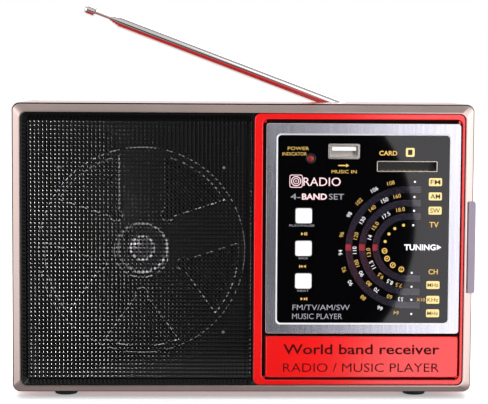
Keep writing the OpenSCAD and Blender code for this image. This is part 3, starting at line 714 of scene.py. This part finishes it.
def printLens():
    ink = {name: bmesh.new() for name in inks}
    printScales(ink)
    for words, x, z in bandBoxes:
        inkShape(ink["pale"], "box", x, z, 6.0, 3.6, y=lensFront)
        high, wide = (2.1, 4.5) if len(words) == 2 else (1.7, 5.0)
        inkWords(ink["dark"], words, x, z, high, width=wide, bold=0.008, y=lensFront - filmStep)
    for name, words, x, z, high, wide, bold in lensWords:
        inkWords(ink[name], words, x, z, high, width=wide, bold=bold, y=lensFront)
    for name, kind, x, z, wide, high, hollow in lensMarks:
        inkShape(ink[name], kind, x, z, wide, high, y=lensFront, hollow=hollow)
    inkShape(ink["dark"], "box", 75.6, 113.3, 2.0, 2.4, y=lensFront - filmStep)  # on the card sign
    for x, z in tickDots:
        inkShape(ink["white"], "dot", x, z, 0.95, 0.95, y=lensFront)
    printKeys(ink, keys)
    for piece, name in inkPieces.items():
        addPiece(piece, ink[name], inks[name], "case", smooth=30)


printLens()


# words, z of their middle, height and boldness
plateWords = (("World band receiver", 23.1, 4.5, 0.014),
              ("RADIO / MUSIC PLAYER", 14.6, 4.0, -0.004))


def printPlate():
    # two lines of dark red letters, a thin film proud of the plate's face
    bm = bmesh.new()
    for words, z, high, bold in plateWords:
        inkWords(bm, words, 54.3, z, high, width=71.6, bold=bold, y=plateFront)
    addPiece("plate_words", bm, darkLetterRed, "case", smooth=30)


printPlate()
print("printing done")

# pointers: three squares on the disc with a painted glow, one in each scale window
pointers = {"radii": (26.9, 20.7, 14.9), "size": (3.3, 2.8), "z": 69.6, "thick": 0.25}


def makePointers(p):
    bm = bmesh.new()
    for radius in p["radii"]:
        inkShape(bm, "box", dialX - radius, p["z"], p["size"][0], p["size"][1],
                 y=edges("dial_disc")[2], thick=p["thick"])
    addPiece("pointers", bm, pointerRed, "tuning", smooth=30)


makePointers(pointers)
print("pointers made")


def addBlock(bm, box):
    # box is left, right, front, back, bottom, top in mm
    new = bmesh.ops.create_cube(bm, size=1)["verts"]
    size = Vector((box[1] - box[0], box[3] - box[2], box[5] - box[4])) * mm
    middle = Vector((box[0] + box[1], box[2] + box[3], box[4] + box[5])) * mm / 2
    bmesh.ops.scale(bm, vec=size, verts=new)
    bmesh.ops.translate(bm, vec=middle, verts=new)
    return new


# black strips on the floor of the groove round the trim and the name plate: painted shade for the
# dark groove
groove = {"outer": (8.75, 99.35, 8.95, 128.05), "thick": 0.35, "gap": 0.05, "corner": 1.6}


def paintedGrooveShade(g):
    trim, plate = edges("trim_frame"), edges("name_plate")
    left, right, bottom, top = g["outer"]
    back = trim[3]
    front, gap, corner = back - g["thick"], g["gap"], g["corner"]
    bm = bmesh.new()
    for strip in ((left, trim[0] - gap, bottom + corner, top - corner),
                  (trim[1] + gap, right, bottom + corner, top - corner),
                  (left + corner, right - corner, trim[5] + gap, top),
                  (left + corner, right - corner, bottom, plate[4] - gap),
                  (trim[0], trim[1], plate[5] + gap, trim[4] - gap)):
        addBlock(bm, (strip[0], strip[1], front, back, strip[2], strip[3]))
    addPiece("groove_foam", bm, grooveShade, "case")


paintedGrooveShade(groove)


# indicator: a clear red dome in a black ring
led = {
    "dome": [(1.5, -33.9), (1.5, -34.2), (1.32, -34.42), (0.9, -34.58), (0.45, -34.66),
             (0, -34.68)],
    "ring": [(1.55, -33.9), (1.55, -34.3), (1.75, -34.45), (2.15, -34.45), (2.35, -34.3),
             (2.4, -34.1), (2.4, -33.3), (1.55, -33.3), (1.55, -33.9)],
    "wall": 0.2, "stem": 1.45, "stemFront": -34.0,  # mm
}


def makeLed(l):
    back, bottom, top = edges("led")[3:]
    x, z = sum(edges("led")[:2]) / 2, (bottom + top) / 2
    dome = spun(l["dome"] + [l["dome"][-1]], x, z, 32)
    bmesh.ops.solidify(dome, geom=dome.faces[:], thickness=l["wall"] * mm)
    bmesh.ops.recalc_face_normals(dome, faces=dome.faces)
    piece = addPiece("led_dome", dome, ledRed, "case", smooth=60)
    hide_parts("led")
    addPiece("led_ring", spun(l["ring"], x, z, 32), blackAbs, "case", smooth=40)
    stem = bmesh.new()
    radius = l["stem"] * mm
    bmesh.ops.create_cone(stem, cap_ends=True, segments=24, radius1=radius, radius2=radius,
                          depth=(back - l["stemFront"]) * mm)
    bmesh.ops.transform(stem, matrix=onFront((back + l["stemFront"]) / 2, x, z),
                        verts=stem.verts)
    addPiece("led_body", stem, ledRed, "case")


makeLed(led)


# inside the card slot: dark back wall and a row of springs along the top
slotInside = {"springs": 9, "step": 2.6, "wide": 1.3}


def makeSlotInside(s):
    left, right, front, back, bottom, top = edges("card_shell")
    bm = bmesh.new()
    addBlock(bm, (left + 0.5, right - 0.5, -27.75, -27.55, bottom + 0.45, top - 0.45))
    addPiece("slot_back", bm, satinBlack, "case")
    bm = bmesh.new()
    for n in range(s["springs"]):
        x = left + 2.2 + s["step"] * n
        addBlock(bm, (x, x + s["wide"], -33.6, -30.5, top - 0.44, top - 0.36))
    addPiece("slot_springs", bm, goldPlate, "case")


makeSlotInside(slotInside)
print("small parts made")


# pale floor, lit from above; it is left out of reflections so that gloss black stays black
stagePaper = {"half": 6, "colour": "FAFAFA", "rough": 0.9, "glow": 0.35}  # half its side, m


def makeStage(f):
    mat, tree = startMaterial("white seamless paper")
    place = addNode(tree, "ShaderNodeTexCoord")
    fibre = addNode(tree, "ShaderNodeTexNoise", {"Scale": 400, "Detail": 2},
                    {"Vector": place.outputs["Object"]})
    bump = addNode(tree, "ShaderNodeBump", {"Strength": 0.05, "Distance": 0.1 * mm},
                   {"Height": fibre.outputs["Fac"]})
    shader = addNode(tree, "ShaderNodeBsdfPrincipled",
                     {"Base Color": rgb(f["colour"]), "Roughness": f["rough"],
                      "Emission Color": (1, 1, 1, 1), "Emission Strength": f["glow"]},
                     {"Normal": bump.outputs[0]})
    addNode(tree, "ShaderNodeOutputMaterial", {}, {"Surface": shader.outputs[0]})
    bm = bmesh.new()
    bmesh.ops.create_grid(bm, x_segments=1, y_segments=1, size=f["half"])
    mesh = bpy.data.meshes.new("floor")
    bm.to_mesh(mesh)
    bm.free()
    mesh.materials.append(mat)
    obj = bpy.data.objects.new("floor", mesh)
    scene.collection.objects.link(obj)
    obj.visible_glossy = False


makeStage(stagePaper)

# soft boxes: place and size in metres, how bright their face is, and what they are aimed at
softBoxes = {
    "left_box": {"place": (-1.15, -0.6, 0.2), "size": (0.8, 1.0), "glow": 1.5, "gloss": True},
    "side_box": {"place": (1.25, -0.55, 0.15), "size": (0.7, 0.9), "glow": 2.2, "gloss": True},
    "top_box": {"place": (0, 0.25, 1.2), "size": (1.6, 1.0), "glow": 2.4, "gloss": True},
    # narrow strip low on the left, close by, which only the grille catches
    "grille_strip": {"place": (-0.265, -0.2, -0.02), "size": (0.04, 0.14), "glow": 110,
                     "gloss": True, "only": "speaker_mesh_punched"},
    # lamp in front that reaches through the holes to the speaker
    "speaker_lamp": {"place": (-0.38, -0.75, 0.2), "size": (0.25, 0.25), "glow": 40, "gloss": True,
                     "only": "speaker_trim_shell dust_cap"},
    # fills from the camera's side but is kept out of reflections
    "fill_box": {"place": (-0.1, -1.3, 0.5), "size": (1.2, 0.8), "glow": 1.2, "gloss": False},
}


def addSoftBox(name, s):
    data = bpy.data.lights.new(name, "AREA")
    data.shape = "RECTANGLE"
    data.size, data.size_y = s["size"]
    data.energy = s["glow"] * s["size"][0] * s["size"][1] * pi  # watts that give this glow
    obj = bpy.data.objects.new(name, data)
    aim = Vector((0, 0, 0.07)) - Vector(s["place"])
    turned = aim.to_track_quat("-Z", "Y").to_matrix().to_4x4()
    obj.matrix_world = Matrix.Translation(s["place"]) @ turned
    obj.visible_camera = False
    obj.visible_glossy = s["gloss"]
    scene.collection.objects.link(obj)
    if "only" in s:
        catching = bpy.data.collections.new(name + "_catches")
        for piece in s["only"].split():
            catching.objects.link(bpy.data.objects[piece])
        obj.light_linking.receiver_collection = catching


for name, s in softBoxes.items():
    addSoftBox(name, s)

# big diffuser to the right of the camera, which the dial window mirrors. A round flag is
# taken out of its near edge, so that the mirrored edge bows
diffuser = {"y": -0.95, "right": 1.35, "bottom": -0.6, "top": 0.75, "glow": 1.8,
            "flag": (0.041, -0.005), "flagRadius": 0.157, "flagEnd": (0.1, 0.121)}


def makeDiffuser(d):
    mat, tree = startMaterial("lit diffuser cloth")
    lamp = addNode(tree, "ShaderNodeEmission", {"Color": (1, 0.96, 1, 1), "Strength": d["glow"]})
    addNode(tree, "ShaderNodeOutputMaterial", {}, {"Surface": lamp.outputs[0]})
    x, z = d["flag"]
    endX, endZ = d["flagEnd"]  # where the straight edge meets the flag, from its middle
    bm = bmesh.new()
    corners = [(d["right"], d["bottom"]), (d["right"], d["top"]), (x + endX, d["top"]),
               (x + endX, z + endZ)]
    arc = [(x + d["flagRadius"] * cos(a), z + d["flagRadius"] * sin(a))
           for a in (radians(50 - 10 * n) for n in range(11))]
    corners += arc + [(x + endX, z - endZ), (x + endX, d["bottom"])]
    bm.faces.new([bm.verts.new((p[0], d["y"], p[1])) for p in corners])
    mesh = bpy.data.meshes.new("diffuser")
    bm.to_mesh(mesh)
    bm.free()
    mesh.materials.append(mat)
    obj = bpy.data.objects.new("diffuser", mesh)
    obj.visible_camera = False
    scene.collection.objects.link(obj)


makeDiffuser(diffuser)


# the room: white all round to the camera, but what lights the set and is mirrored in it is
# white behind it, and in front of it goes by height: dark straight ahead, pale above and below
room = {
    "back": 1.0,
    # how high, as the sine of the angle above the horizon, and how bright
    "levels": [(-0.45, 0.35), (-0.3, 0.3), (-0.2, 0.02), (-0.01, 0.02), (0.06, 0.8), (0.6, 0.7),
               (0.8, 0.38), (0.9, 0.42), (0.96, 1.0)],
}


def makeRoom(r):
    world = bpy.data.worlds.new("studio")
    world.use_nodes = True
    tree = world.node_tree
    tree.nodes.clear()
    place = addNode(tree, "ShaderNodeTexCoord")
    split = addNode(tree, "ShaderNodeSeparateXYZ", {}, {0: place.outputs["Generated"]})
    height = addNode(tree, "ShaderNodeMapRange", {"From Min": -1, "From Max": 1},
                     {"Value": split.outputs["Z"]})
    levels = addNode(tree, "ShaderNodeValToRGB", {}, {0: height.outputs[0]})
    stops = levels.color_ramp.elements
    for n, (up, glow) in enumerate(r["levels"]):
        stop = stops[n] if n < 2 else stops.new(1)
        stop.position = (up + 1) / 2
        stop.color = (glow, glow, glow, 1)
    behind = addNode(tree, "ShaderNodeMapRange",
                     {"interpolation_type": "SMOOTHSTEP", "From Min": -0.05, "From Max": 0.4,
                      "To Max": r["back"]}, {"Value": split.outputs["Y"]})
    glow = addNode(tree, "ShaderNodeMath", {"operation": "MAXIMUM"},
                   {0: levels.outputs["Color"], 1: behind.outputs[0]})
    lit = addNode(tree, "ShaderNodeBackground", {"Color": (1, 1, 1, 1)},
                  {"Strength": glow.outputs[0]})
    paper = addNode(tree, "ShaderNodeBackground", {"Color": (1, 1, 1, 1), "Strength": 1})
    ray = addNode(tree, "ShaderNodeLightPath")
    both = addNode(tree, "ShaderNodeMixShader", {}, {0: ray.outputs["Is Camera Ray"],
                                                     1: lit.outputs[0], 2: paper.outputs[0]})
    addNode(tree, "ShaderNodeOutputWorld", {}, {"Surface": both.outputs[0]})
    scene.world = world


makeRoom(room)
scene.view_settings.view_transform = "Standard"
print("stage and lights made")
